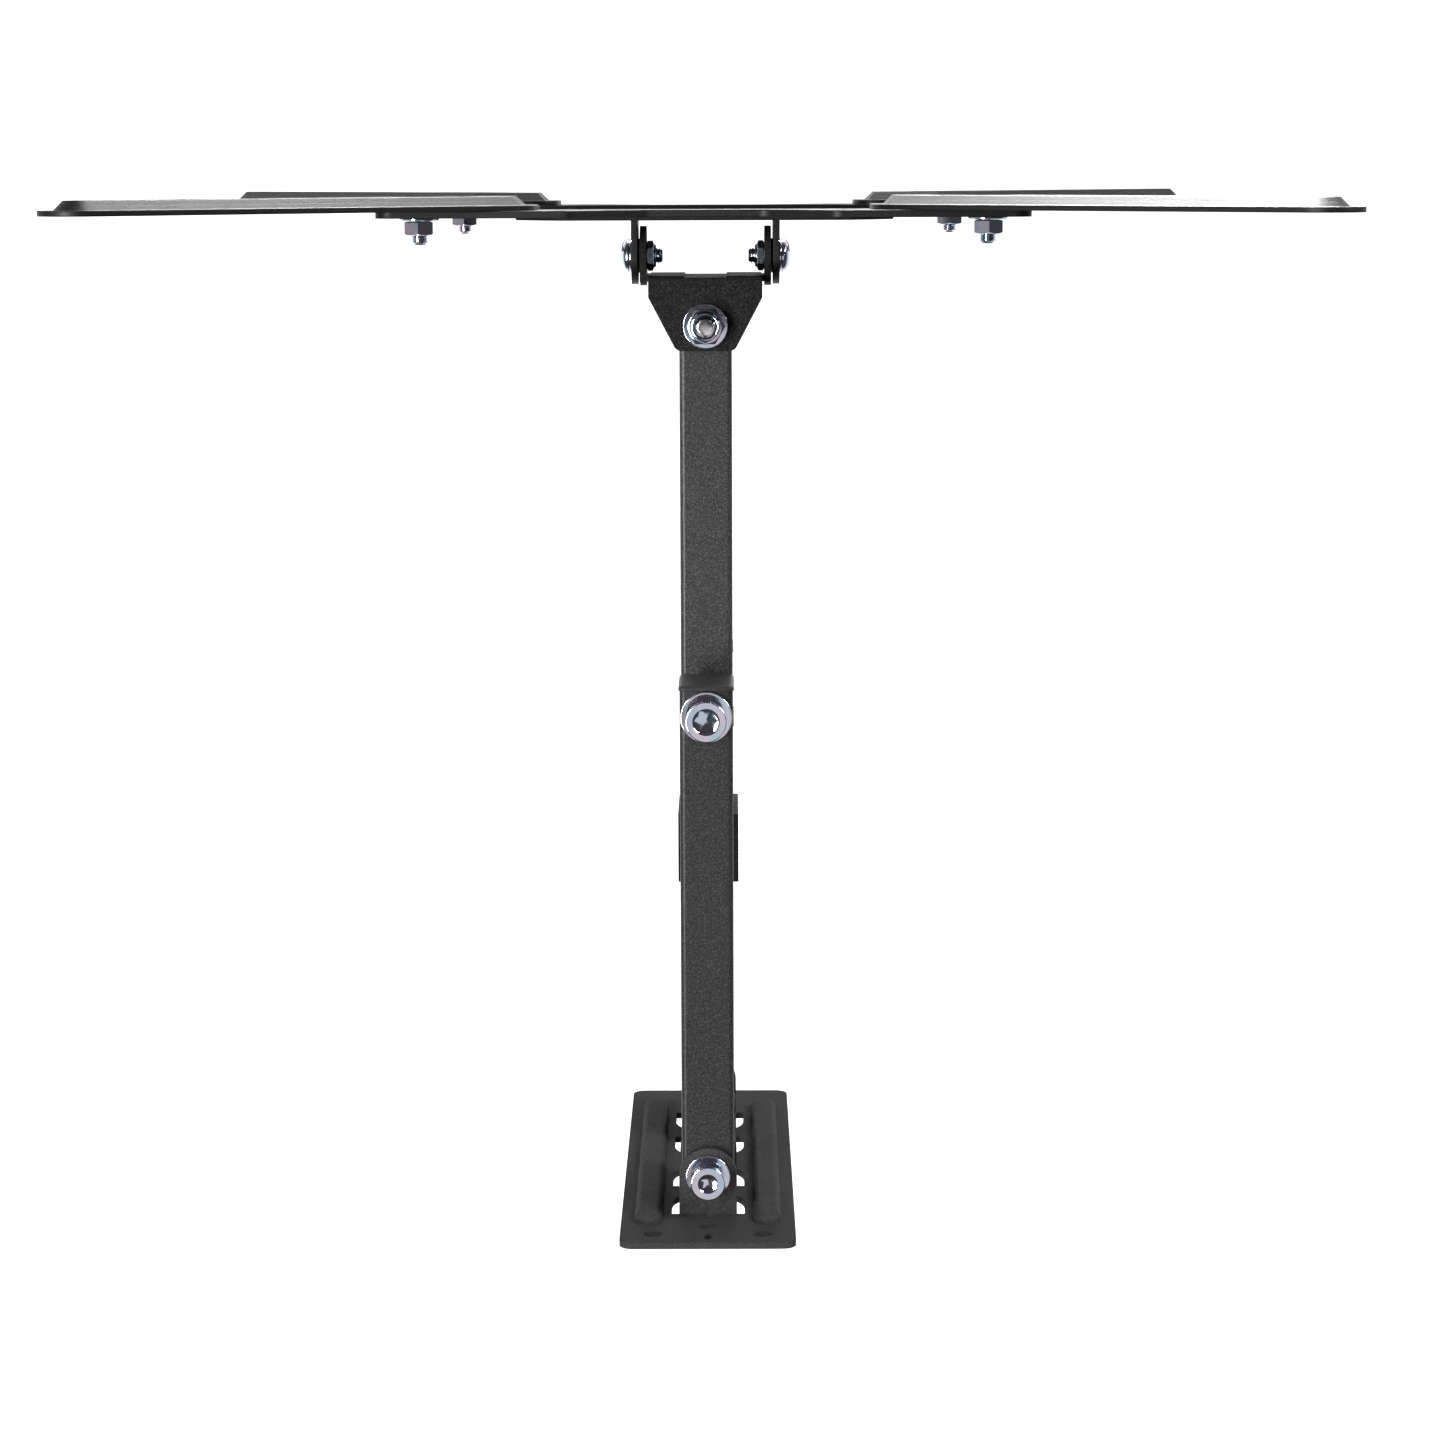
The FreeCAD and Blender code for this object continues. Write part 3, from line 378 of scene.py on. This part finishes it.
def add_lock_nut(bm, frame_of, flats, hex_height, collar, height, bore):
    """A hexagon nut with a crimped collar that holds a plastic locking ring."""
    face, fillet, crimp = nut_face(flats), 0.25 * MM, 0.9 * MM
    lip, lip_z = collar - 1.2 * MM, height - 0.12 * MM
    throat, throat_z = collar - 1.25 * MM, height - 0.7 * MM
    rings = [circle(bore, 0), circle(face, 0), chamfered_hexagon(flats, 0, -1),
             chamfered_hexagon(flats, hex_height, 1), circle(face, hex_height),
             circle(collar + fillet, hex_height), circle(collar, hex_height + fillet)]
    rings += arc(collar, height, crimp, RIM_STEPS)
    rings += [circle(lip, lip_z), circle(throat, throat_z)]
    skin(bm, rings, frame_of)
    seat, grip = collar - 1.22 * MM, bore - 0.05 * MM
    shoulder, shoulder_z = seat - 0.15 * MM, height - 0.45 * MM
    ridge, ridge_z = (seat + bore) / 2, height - 0.38 * MM
    grip_high, grip_low = height - 0.5 * MM, height - 2 * MM
    ring = [circle(seat, throat_z), circle(shoulder, shoulder_z), circle(ridge, ridge_z),
            circle(grip, grip_high), circle(grip, grip_low)]
    skin(bm, ring, frame_of, SECOND)


def add_flange_nut(bm, frame_of, flats, height, flange, flange_height, bore):
    """A hexagon nut on a sloped round flange, its bore countersunk at the top."""
    foot_inset, foot_z = 0.15 * MM, 0.2 * MM
    brim_z, slope_inset, slope_z = 0.65 * MM, 0.25 * MM, 0.85 * MM
    slope_top, hex_rise = flats * 0.60, 0.1 * MM
    sink, sink_depth, bore_end = 0.55 * MM, 0.5 * MM, height * 0.4
    base = [circle(bore, 0), circle(flange - foot_inset, 0), circle(flange, foot_z), circle(flange, brim_z),
            circle(flange - slope_inset, slope_z), circle(slope_top, flange_height)]
    body = [hexagon(flats, flange_height + hex_rise), chamfered_hexagon(flats, height, 1)]
    top = [circle(nut_face(flats), height), circle(bore + sink, height), circle(bore, height - sink_depth),
           circle(bore, bore_end)]
    skin(bm, base + body + top, frame_of)


def add_washer(bm, frame_of, radius, bore, thick):
    """A punched washer, slightly coned so that its outer edge lies lower than its bore."""
    edge, cone = 0.22 * MM, 0.15 * MM
    rounding = edge * 1.3
    rings = [circle(bore, 0), circle(radius - edge, 0), circle(radius, edge)]
    rings += arc(radius, thick - cone, rounding, WASHER_STEPS)
    rings += [circle(bore + edge + HOLD, thick), circle(bore + edge, thick), circle(bore, thick - edge),
              circle(bore, 0)]
    skin(bm, rings, frame_of)


# Fasteners, each put where its solid stands


PIVOT = {"radius": 4 * MM, "pitch": 1.25 * MM, "thread": 12 * MM, "head": 6.5 * MM, "head_height": 8 * MM,
         "bevel": 0.4 * MM, "socket": 6 * MM, "depth": 4.5 * MM, "washer": 8.5 * MM, "washer_thick": 1.6 * MM,
         "flats": 13 * MM, "hex_height": 6.2 * MM, "collar": 5.7 * MM, "nut_height": 8 * MM}
ELBOW = {"radius": 5 * MM, "pitch": 1.5 * MM, "thread": 15 * MM, "head": 7.7 * MM, "head_height": 10 * MM,
         "bevel": 0.45 * MM, "socket": 8 * MM, "depth": 5.5 * MM, "washer": 9.7 * MM, "washer_thick": 2 * MM,
         "flats": 16 * MM, "hex_height": 7.5 * MM, "collar": 7 * MM, "nut_height": 10 * MM}
SCREW = {"radius": 3 * MM, "pitch": 1.0 * MM}
TILT = {"length": 12.85 * MM, "thread": 9 * MM, "head": 6.5 * MM, "head_height": 3.6 * MM, "socket": 4 * MM,
        "depth": 2.2 * MM, "washer": 6.5 * MM, "washer_thick": 0.9 * MM, "flats": 10 * MM,
        "hex_height": 2.8 * MM, "collar": 4.4 * MM, "nut_height": 3.7 * MM}
CLAMP = {"thread": 10 * MM, "head": 6.6 * MM, "head_height": 3 * MM, "flats": 10 * MM, "height": 6 * MM,
         "flange": 7 * MM, "flange_height": 1.4 * MM, "seat_gap": 0.02 * MM}
CORNER_UP = Matrix.Rotation(HEX_SECTOR / 2, 4, "Z")


def pivot_fasteners(name, size, body, heading):
    """Screw, lock nut and washers of an upright pivot whose screw head faces heading."""
    low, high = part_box(f"{name}_bolt")
    middle = (low + high) / 2
    top, tip = (high.z, low.z) if heading is UP else (low.z, high.z)
    seat = top - heading.z * size["head_height"]
    bm = bmesh.new()
    stand = along(Vector((middle.x, middle.y, seat)), heading)
    add_cap_head(bm, stand, size["head"], size["head_height"], size["bevel"], size["socket"], size["depth"])
    add_shank(bm, stand, size["radius"], size["pitch"], abs(seat - tip), size["thread"])
    finish_piece(f"{name}_screw", bm, body, (ZINC, TIP), f"{name}_bolt")
    low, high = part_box(f"{name}_nut")
    base = high.z if heading is UP else low.z
    bm = bmesh.new()
    stand = along(Vector((middle.x, middle.y, base)), -heading)
    add_lock_nut(bm, stand, size["flats"], size["hex_height"], size["collar"], size["nut_height"],
                 size["radius"])
    finish_piece(f"{name}_lock_nut", bm, body, (ZINC, NYLON), f"{name}_nut")
    low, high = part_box(f"{name}_washers")
    bm = bmesh.new()
    for z, outwards in ((high.z, UP), (low.z, DOWN)):
        base = Vector((middle.x, middle.y, z)) - outwards * size["washer_thick"]
        add_washer(bm, along(base, outwards), size["washer"], size["radius"], size["washer_thick"])
    finish_piece(f"{name}_washer_pair", bm, body, (ZINC,), f"{name}_washers")


def tilt_fasteners():
    """The screw, lock nut and washer on each side of the tilt axis, their heads facing outwards."""
    low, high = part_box("tilt_screws")
    middle = (low + high) / 2
    screws, nuts, washers = bmesh.new(), bmesh.new(), bmesh.new()
    nut_low, nut_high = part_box("tilt_nuts")
    washer_low, washer_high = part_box("tilt_washers")
    sides = ((RIGHT, high.x, nut_high.x, washer_high.x), (LEFT, low.x, nut_low.x, washer_low.x))
    for outwards, top, nut_base, washer_top in sides:
        stand = along(Vector((top, middle.y, middle.z)) - outwards * TILT["head_height"], outwards)
        add_dome_head(screws, stand, TILT["head"], TILT["head_height"], TILT["socket"], TILT["depth"])
        add_shank(screws, stand, SCREW["radius"], SCREW["pitch"], TILT["length"], TILT["thread"])
        stand = along(Vector((nut_base, middle.y, middle.z)), -outwards)
        add_lock_nut(nuts, stand, TILT["flats"], TILT["hex_height"], TILT["collar"], TILT["nut_height"],
                     SCREW["radius"])
        stand = along(Vector((washer_top, middle.y, middle.z)) - outwards * TILT["washer_thick"], outwards)
        add_washer(washers, stand, TILT["washer"], SCREW["radius"], TILT["washer_thick"])
    finish_piece("tilt_screw_pair", screws, "screen_plate", (ZINC, TIP), "tilt_screws")
    finish_piece("tilt_lock_nuts", nuts, "screen_plate", (ZINC, NYLON), "tilt_nuts")
    finish_piece("tilt_washer_pair", washers, "screen_plate", (ZINC,), "tilt_washers")


def clamp_fasteners(corner):
    """The bolt of an extension arm and the flange nut that faces the wall, just clear of the plate."""
    body = f"clamp_{corner}"
    low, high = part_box(f"arm_bolt_{corner}")
    middle = (low + high) / 2
    seat = Vector((middle.x, low.y + CLAMP["head_height"], middle.z))
    bm = bmesh.new()
    stand = along(seat, ROOM)
    add_dome_head(bm, stand, CLAMP["head"], CLAMP["head_height"])
    add_shank(bm, stand, SCREW["radius"], SCREW["pitch"], high.y - seat.y, CLAMP["thread"])
    finish_piece(f"clamp_screw_{corner}", bm, body, (ZINC, TIP), f"arm_bolt_{corner}")
    low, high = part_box(f"arm_nut_{corner}")
    bm = bmesh.new()
    stand = along(Vector((middle.x, low.y + CLAMP["seat_gap"], middle.z)), WALL) @ CORNER_UP
    add_flange_nut(bm, stand, CLAMP["flats"], CLAMP["height"] - CLAMP["seat_gap"], CLAMP["flange"],
                   CLAMP["flange_height"], SCREW["radius"])
    finish_piece(f"flange_nut_{corner}", bm, body, (ZINC,), f"arm_nut_{corner}")


paint_node("wall_plate", PAINT_PLATE)
for name in ("upper_wall_tube", "lower_wall_tube"):
    paint_node(name, PAINT_WALL_ARM)
paint_node("tv_arm_tube", PAINT_TV_ARM)
paint_node("swivel_bracket", PAINT_BRACKET)
paint_node("tv_plate", PAINT_SCREEN)
for corner in CORNERS:
    paint_node(f"arm_{corner}", PAINT_SCREEN)
paint_node("cable_clip", PLASTIC_CLIP)
for name in ("upper_tube_cap", "lower_tube_cap", "tv_arm_elbow_cap", "tv_arm_head_cap", "elbow_spacers",
             "wall_slip_washers", "head_slip_washers", "tilt_slip_washers"):
    paint_node(name, PLASTIC)

pivot_fasteners("upper_wall_pivot", PIVOT, "wall_bracket", UP)
pivot_fasteners("lower_wall_pivot", PIVOT, "wall_bracket", DOWN)
pivot_fasteners("elbow", ELBOW, "wall_arm", UP)
pivot_fasteners("head", PIVOT, "swivel_head", DOWN)
tilt_fasteners()
for corner in CORNERS:
    clamp_fasteners(corner)


# Floor, light and camera


FLOOR_SIZE = 30
FLOOR_PLACE = (0, -0.12, -0.34)
FLOOR_LEVELS = (0.48, 0.52)
FLOOR_ROUGHNESS = 0.9
GLOW_REACH = (0.45, 1.0)  # the floor's glow fades between these distances from its middle
GLOW_STRENGTH = (0.85, 0.3)

WORLD_STRENGTH = 0.06
WHITE = (1, 1, 1, 1)
MIDDLE = (0, -0.2, 0)
OPEN = 180
# name, place, target, size, power in watts, spread of the beam in degrees
LIGHTS = (
    ("key_left", (1.0, -0.15, 1.65), MIDDLE, (1.4, 0.5), 57, OPEN),
    ("ceiling", (-0.37, 0.44, 2.6), (-0.37, 0.44, 0), (1.0, 1.3), 2.7, OPEN),
    ("room_panel", (-0.15, -1.05, -0.2), (-0.20, -0.39, 0.35), (0.5, 0.4), 11, 45),
    ("side_fill", (1.7, -0.3, 0.85), MIDDLE, (0.9, 1.2), 0.85, OPEN),
    ("wall_fill", (-0.9, -0.7, 0.4), (0, 0, 0.03), (0.5, 0.5), 1.3, 50),
)

CAMERA_PLACE = (-0.008, -0.3958, 1.2420)
CAMERA_PITCH = math.radians(9.754)
CAMERA_ROLL = math.radians(-0.164)
CAMERA_YAW = math.radians(0.138)
CAMERA_LENS, CAMERA_SENSOR = 80.23, 36
CAMERA_CLIP = 0.01


def build_floor():
    mesh = bpy.data.meshes.new("floor")
    bm = bmesh.new()
    bmesh.ops.create_grid(bm, x_segments=1, y_segments=1, size=FLOOR_SIZE)
    bm.to_mesh(mesh)
    bm.free()
    floor = bpy.data.objects.new("floor", mesh)
    floor.location = FLOOR_PLACE
    bpy.context.scene.collection.objects.link(floor)
    shade = Shade("floor")
    cloud = shade.noise(scale=3)
    levels = [(level, level, level) for level in FLOOR_LEVELS]
    away = shade.add("ShaderNodeVectorMath", {"Vector": shade.place})
    away.operation = "LENGTH"
    glow = shade.add("ShaderNodeMapRange", {"Value": away.outputs["Value"]}, From_Min=GLOW_REACH[0],
                     From_Max=GLOW_REACH[1], To_Min=GLOW_STRENGTH[0], To_Max=GLOW_STRENGTH[1])
    shade.wire(Base_Color=shade.ramp(cloud, list(zip((NOISE_LOW, NOISE_HIGH), levels))),
               Emission_Strength=glow.outputs["Result"])
    shade.fix(Roughness=FLOOR_ROUGHNESS, Emission_Color=WHITE)
    mesh.materials.append(shade.material)


def add_light(name, place, target, size, power, spread):
    data = bpy.data.lights.new(name, "AREA")
    data.shape = "RECTANGLE"
    data.size, data.size_y = size
    data.energy = power
    data.spread = math.radians(spread)
    light = bpy.data.objects.new(name, data)
    light.location = place
    light.rotation_euler = (Vector(target) - Vector(place)).to_track_quat("-Z", "Y").to_euler()
    light.visible_camera = False
    bpy.context.scene.collection.objects.link(light)


def build_light():
    world = bpy.data.worlds.new("studio")
    world.use_nodes = True
    background = world.node_tree.nodes["Background"]
    background.inputs["Color"].default_value = WHITE
    background.inputs["Strength"].default_value = WORLD_STRENGTH
    bpy.context.scene.world = world
    for light in LIGHTS:
        add_light(*light)


def build_camera():
    """Looks down on the mount and a little towards the wall, with the picture's top away from the wall."""
    data = bpy.data.cameras.new("camera")
    data.sensor_width = CAMERA_SENSOR
    data.lens = CAMERA_LENS
    data.clip_start = CAMERA_CLIP
    camera = bpy.data.objects.new("camera", data)
    upwards = Vector((0, -math.cos(CAMERA_PITCH), -math.sin(CAMERA_PITCH)))
    back = Vector((0, -math.sin(CAMERA_PITCH), math.cos(CAMERA_PITCH)))
    turn = Matrix((LEFT, upwards, back)).transposed()
    turn = turn @ Matrix.Rotation(CAMERA_YAW, 3, "Y") @ Matrix.Rotation(CAMERA_ROLL, 3, "Z")
    camera.matrix_world = Matrix.Translation(CAMERA_PLACE) @ turn.to_4x4()
    bpy.context.scene.collection.objects.link(camera)
    bpy.context.scene.camera = camera


build_floor()
build_light()
build_camera()
bpy.context.scene.view_settings.view_transform = "Standard"
